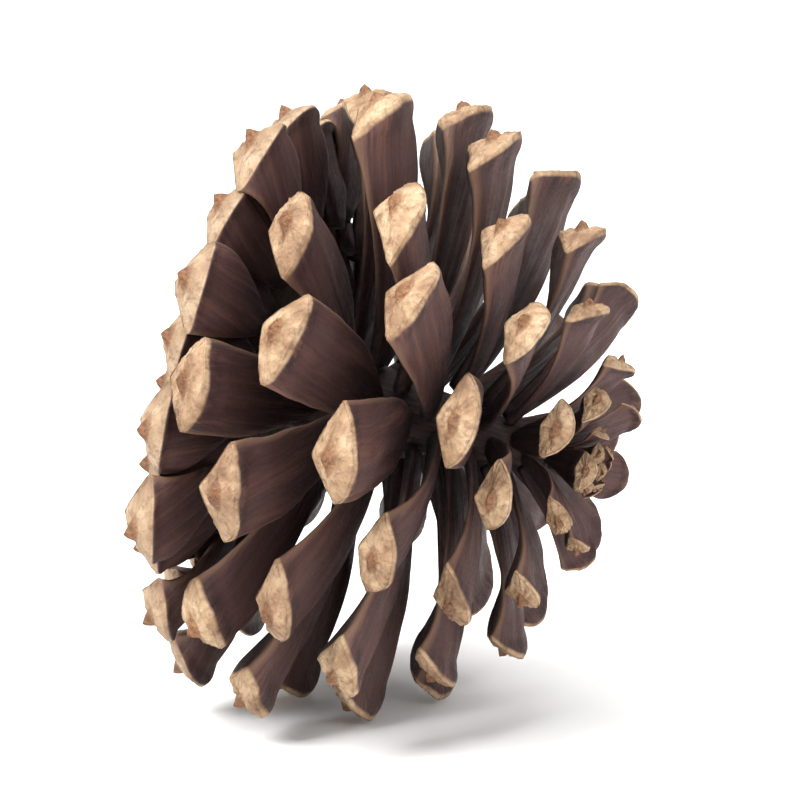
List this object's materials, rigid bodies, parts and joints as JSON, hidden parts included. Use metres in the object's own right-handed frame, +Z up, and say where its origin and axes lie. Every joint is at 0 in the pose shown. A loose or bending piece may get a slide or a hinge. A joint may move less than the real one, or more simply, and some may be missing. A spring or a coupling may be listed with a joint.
{
  "type": "pine cone",
  "caption": "Dry, open brown pine cone lying on its side: woody scales in spirals on a central stem, packed tight over the base, with a stub of stalk.",
  "frame": {"origin": "on the ground, under the centre of the bounding box of the cone as it lies on its side", "axes": "+Z up; +X from the stalk towards the cone's tip, along the ground; +Y to the left of that"},
  "size_m": [0.049, 0.0688, 0.0671],
  "materials": {
    "scale_wood": "matte",
    "packed_scale_wood": "matte",
    "rachis_wood": "matte"
  },
  "bodies": {
    "root": {"rachis": "rachis_wood", "base_scales": "packed_scale_wood", "scale_01": "scale_wood", "scale_02": "scale_wood", "scale_03": "scale_wood", "scale_04": "scale_wood", "scale_05": "scale_wood", "scale_06": "scale_wood", "scale_07": "scale_wood", "scale_08": "scale_wood", "scale_09": "scale_wood", "scale_10": "scale_wood", "scale_11": "scale_wood", "scale_12": "scale_wood", "scale_13": "scale_wood", "scale_14": "scale_wood", "scale_15": "scale_wood", "scale_16": "scale_wood", "scale_17": "scale_wood", "scale_18": "scale_wood", "scale_19": "scale_wood", "scale_20": "scale_wood", "scale_21": "scale_wood", "scale_22": "scale_wood", "scale_23": "scale_wood", "scale_24": "scale_wood", "scale_25": "scale_wood", "scale_26": "scale_wood", "scale_27": "scale_wood", "scale_28": "scale_wood", "scale_29": "scale_wood", "scale_30": "scale_wood", "scale_31": "scale_wood", "scale_32": "scale_wood", "scale_33": "scale_wood", "scale_34": "scale_wood", "scale_35": "scale_wood", "scale_36": "scale_wood", "scale_37": "scale_wood", "scale_38": "scale_wood", "scale_39": "scale_wood", "scale_40": "scale_wood", "scale_41": "scale_wood", "scale_42": "scale_wood", "scale_43": "scale_wood", "scale_44": "scale_wood", "scale_45": "scale_wood", "scale_46": "scale_wood", "scale_47": "scale_wood", "scale_48": "scale_wood", "scale_49": "scale_wood", "scale_50": "scale_wood", "scale_51": "scale_wood", "scale_52": "scale_wood", "scale_53": "scale_wood", "scale_54": "scale_wood", "scale_55": "scale_wood", "scale_56": "scale_wood", "scale_57": "scale_wood", "tip_scales": "scale_wood"}
  },
  "joints": []
}
